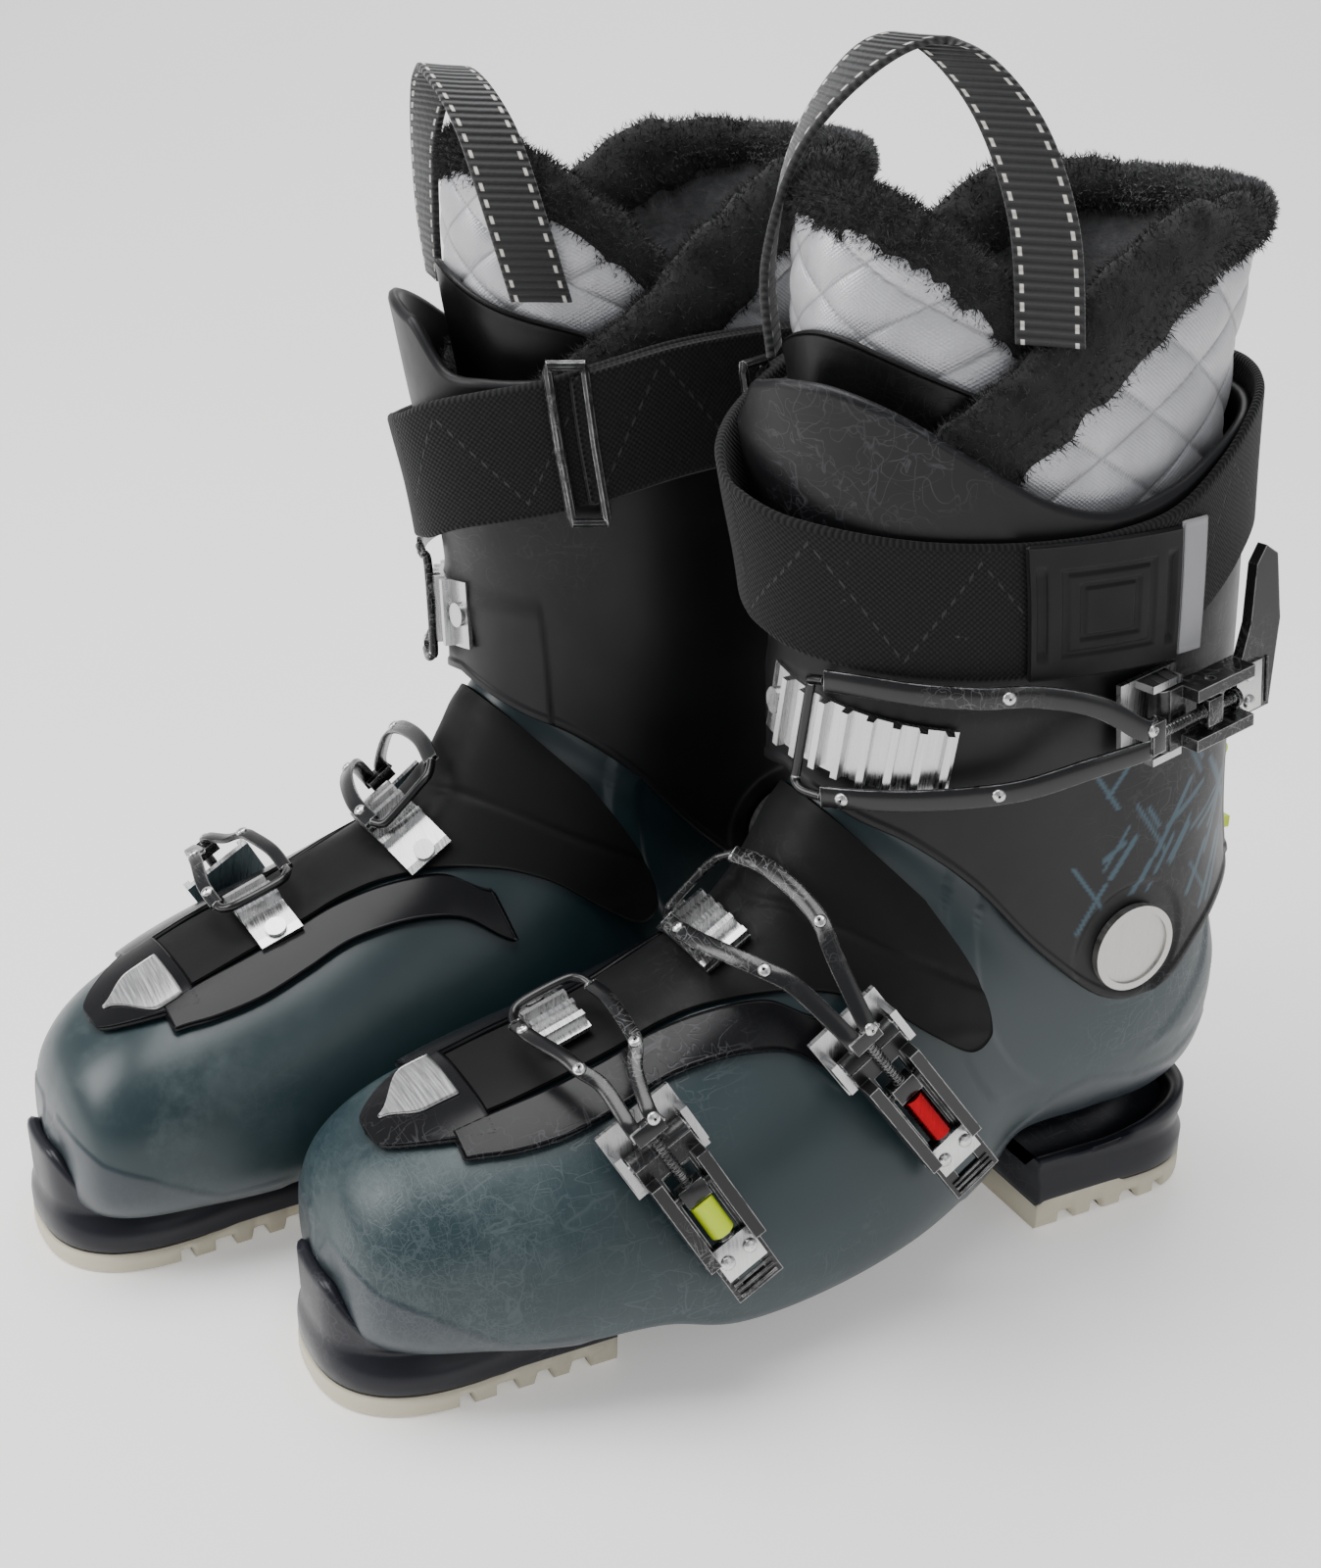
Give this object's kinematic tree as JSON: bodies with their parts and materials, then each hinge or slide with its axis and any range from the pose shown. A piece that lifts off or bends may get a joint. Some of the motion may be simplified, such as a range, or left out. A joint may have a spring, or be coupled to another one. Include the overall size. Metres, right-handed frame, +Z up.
{
  "type": "alpine ski boots",
  "caption": "Pair of alpine ski boots: hinged cuffs, ratchet buckles with bails, power straps, padded liners and screwed-on soles.",
  "frame": {"origin": "centre of the pair's bounding box at floor level", "axes": "+Z up; toes point toward -Y; the left boot stands on the +X side, aligned with the axes, its outer side facing +X; the right boot is on the -X side, a little ahead and turned 4.4 degrees"},
  "size_m": [0.264, 0.3888, 0.3792],
  "materials": {
    "shell_teal": "moulded dark teal plastic, worn and scuffed",
    "soft_black": "matte black softer plastic",
    "gloss_black": "glossy black plastic, scuffed",
    "badge": "plain brushed badge plate",
    "lug": "charcoal hard sole plastic",
    "tread": "cream rubber tread",
    "screw": "zinc plated",
    "board": "plain moulded",
    "rack": "die-cast, worn bright",
    "base": "satin",
    "rivet": "bright",
    "pivot": "brushed with a turned rim",
    "liner_dark": "dark woven lining",
    "cuff_black": "matte black plastic with a blue-grey stripe pattern",
    "webbing": "heavy black webbing, zigzag stitching, rubber end patch",
    "wire_black": "black painted wire",
    "liner_silver": "silver quilted fabric with black fleece collar",
    "lime": "lime green plastic",
    "lever_black": "black coated aluminium, edges worn bright",
    "bail_black": "black coated wire and plate, worn",
    "red_anodised": "red anodised"
  },
  "bodies": {
    "left_lower": {"left_lower_shell": "shell_teal", "left_instep_overlay": "soft_black", "left_toe_trim": "gloss_black", "left_toe_badge": "badge", "left_sole_lugs": "lug", "left_sole_treads": "tread", "left_sole_screws": "screw", "left_boot_board": "board", "left_lower_racks": "rack", "left_lower_buckle_bases": "base", "left_lower_rivets": "rivet", "left_ankle_pivots": "pivot", "left_liner_foot": "liner_dark"},
    "left_cuff": {"left_cuff_shell": "cuff_black", "left_cuff_rack": "rack", "left_cuff_buckle_base": "base", "left_power_strap": "webbing", "left_strap_ring": "wire_black", "left_liner_cuff": "liner_silver", "left_liner_tongue": "liner_silver", "left_pull_loop": "webbing"},
    "left_walk_lever_body": {"left_walk_lever": "lime"},
    "left_toe_lever_body": {"left_toe_lever": "lever_black"},
    "left_instep_lever_body": {"left_instep_lever": "lever_black"},
    "left_cuff_lever_body": {"left_cuff_lever": "lever_black"},
    "left_toe_bail_body": {"left_toe_bail": "bail_black"},
    "left_instep_bail_body": {"left_instep_bail": "bail_black"},
    "left_cuff_bail_body": {"left_cuff_bail": "bail_black"},
    "left_toe_adjuster_body": {"left_toe_adjuster": "lime"},
    "left_instep_adjuster_body": {"left_instep_adjuster": "red_anodised"},
    "right_lower": {"right_lower_shell": "shell_teal", "right_instep_overlay": "soft_black", "right_toe_trim": "gloss_black", "right_toe_badge": "badge", "right_sole_lugs": "lug", "right_sole_treads": "tread", "right_sole_screws": "screw", "right_boot_board": "board", "right_lower_racks": "rack", "right_lower_buckle_bases": "base", "right_lower_rivets": "rivet", "right_ankle_pivots": "pivot", "right_liner_foot": "liner_dark"},
    "right_cuff": {"right_cuff_shell": "cuff_black", "right_cuff_rack": "rack", "right_cuff_buckle_base": "base", "right_power_strap": "webbing", "right_strap_ring": "wire_black", "right_liner_cuff": "liner_silver", "right_liner_tongue": "liner_silver", "right_pull_loop": "webbing"},
    "right_walk_lever_body": {"right_walk_lever": "lime"},
    "right_toe_lever_body": {"right_toe_lever": "lever_black"},
    "right_instep_lever_body": {"right_instep_lever": "lever_black"},
    "right_cuff_lever_body": {"right_cuff_lever": "lever_black"},
    "right_toe_bail_body": {"right_toe_bail": "bail_black"},
    "right_instep_bail_body": {"right_instep_bail": "bail_black"},
    "right_cuff_bail_body": {"right_cuff_bail": "bail_black"},
    "right_toe_adjuster_body": {"right_toe_adjuster": "lime"},
    "right_instep_adjuster_body": {"right_instep_adjuster": "red_anodised"}
  },
  "joints": [
    {"name": "right_boot_aside", "type": "slide", "parent": "left_lower", "child": "right_lower", "axis": [-1, 0, 0], "range_m": [0, 0.15]},
    {"name": "left_cuff_flex", "type": "hinge", "parent": "left_lower", "child": "left_cuff", "pos_m": [0.05728, 0.11836, 0.1135], "axis": [1, 0, 0], "range_deg": [-5, 6], "stiffness_Nm_per_rad": 120},
    {"name": "left_walk_lever", "type": "hinge", "parent": "left_cuff", "child": "left_walk_lever_body", "pos_m": [0.05728, 0.18586, 0.151], "axis": [1, 0, 0], "range_deg": [0, 75]},
    {"name": "left_toe_lever", "type": "hinge", "parent": "left_lower", "child": "left_toe_lever_body", "pos_m": [0.11178, -0.04814, 0.0885], "axis": [0, -0.866, -0.5], "range_deg": [0, 90]},
    {"name": "left_toe_bail", "type": "hinge", "parent": "left_toe_lever_body", "child": "left_toe_bail_body", "pos_m": [0.12209, -0.0424, 0.07855], "axis": [0, 0.866, 0.5], "range_deg": [0, 112.5]},
    {"name": "left_toe_adjuster", "type": "hinge", "parent": "left_toe_bail_body", "child": "left_toe_adjuster_body", "pos_m": [0.12384, -0.03953, 0.07358], "axis": [-0.2924, -0.4782, 0.8282], "continuous": true},
    {"name": "left_instep_lever", "type": "hinge", "parent": "left_lower", "child": "left_instep_lever_body", "pos_m": [0.11128, 0.02086, 0.103], "axis": [0, -0.809, -0.5878], "range_deg": [0, 90]},
    {"name": "left_instep_bail", "type": "hinge", "parent": "left_instep_lever_body", "child": "left_instep_bail_body", "pos_m": [0.11921, 0.02865, 0.09229], "axis": [0, 0.809, 0.5878], "range_deg": [0, 112.5]},
    {"name": "left_instep_adjuster", "type": "hinge", "parent": "left_instep_bail_body", "child": "left_instep_adjuster_body", "pos_m": [0.11983, 0.03215, 0.08746], "axis": [-0.1045, -0.5846, 0.8046], "continuous": true},
    {"name": "left_cuff_lever", "type": "hinge", "parent": "left_cuff", "child": "left_cuff_lever_body", "pos_m": [0.11728, 0.10986, 0.195], "axis": [0, 0.1392, -0.9903], "range_deg": [0, 90]},
    {"name": "left_cuff_bail", "type": "hinge", "parent": "left_cuff_lever_body", "child": "left_cuff_bail_body", "pos_m": [0.12151, 0.12456, 0.19707], "axis": [0, -0.1392, 0.9903], "range_deg": [0, 112.5]},
    {"name": "right_cuff_flex", "type": "hinge", "parent": "right_lower", "child": "right_cuff", "pos_m": [-0.06312, 0.06008, 0.1135], "axis": [0.9971, 0.0767, 0], "range_deg": [-5, 6], "stiffness_Nm_per_rad": 120},
    {"name": "right_walk_lever", "type": "hinge", "parent": "right_cuff", "child": "right_walk_lever_body", "pos_m": [-0.0683, 0.12738, 0.151], "axis": [0.9971, 0.0767, 0], "range_deg": [0, 75]},
    {"name": "right_toe_lever", "type": "hinge", "parent": "right_lower", "child": "right_toe_lever_body", "pos_m": [-0.10469, -0.11012, 0.0885], "axis": [-0.0664, 0.8635, 0.5], "range_deg": [0, 90]},
    {"name": "right_toe_bail", "type": "hinge", "parent": "right_toe_lever_body", "child": "right_toe_bail_body", "pos_m": [-0.11541, -0.10518, 0.07855], "axis": [0.0664, -0.8635, -0.5], "range_deg": [0, 112.5]},
    {"name": "right_toe_adjuster", "type": "hinge", "parent": "right_toe_bail_body", "child": "right_toe_adjuster_body", "pos_m": [-0.11738, -0.10245, 0.07358], "axis": [-0.3282, 0.4543, -0.8282], "continuous": true},
    {"name": "right_instep_lever", "type": "hinge", "parent": "right_lower", "child": "right_instep_lever_body", "pos_m": [-0.10948, -0.04128, 0.103], "axis": [-0.0621, 0.8066, 0.5878], "range_deg": [0, 90]},
    {"name": "right_instep_bail", "type": "hinge", "parent": "right_instep_lever_body", "child": "right_instep_bail_body", "pos_m": [-0.11799, -0.03413, 0.09229], "axis": [0.0621, -0.8066, -0.5878], "range_deg": [0, 112.5]},
    {"name": "right_instep_adjuster", "type": "hinge", "parent": "right_instep_bail_body", "child": "right_instep_adjuster_body", "pos_m": [-0.11888, -0.03068, 0.08746], "axis": [-0.1491, 0.5748, -0.8046], "continuous": true},
    {"name": "right_cuff_lever", "type": "hinge", "parent": "right_cuff", "child": "right_cuff_lever_body", "pos_m": [-0.12229, 0.047, 0.195], "axis": [0.0107, -0.1388, 0.9903], "range_deg": [0, 90]},
    {"name": "right_cuff_bail", "type": "hinge", "parent": "right_cuff_lever_body", "child": "right_cuff_bail_body", "pos_m": [-0.12764, 0.06133, 0.19707], "axis": [-0.0107, 0.1388, -0.9903], "range_deg": [0, 112.5]}
  ],
  "couplings": [
    {"joint": "left_toe_bail", "follows": "left_toe_lever", "ratio": 1.25},
    {"joint": "left_instep_bail", "follows": "left_instep_lever", "ratio": 1.25},
    {"joint": "left_cuff_bail", "follows": "left_cuff_lever", "ratio": 1.25},
    {"joint": "right_toe_bail", "follows": "right_toe_lever", "ratio": 1.25},
    {"joint": "right_instep_bail", "follows": "right_instep_lever", "ratio": 1.25},
    {"joint": "right_cuff_bail", "follows": "right_cuff_lever", "ratio": 1.25}
  ]
}
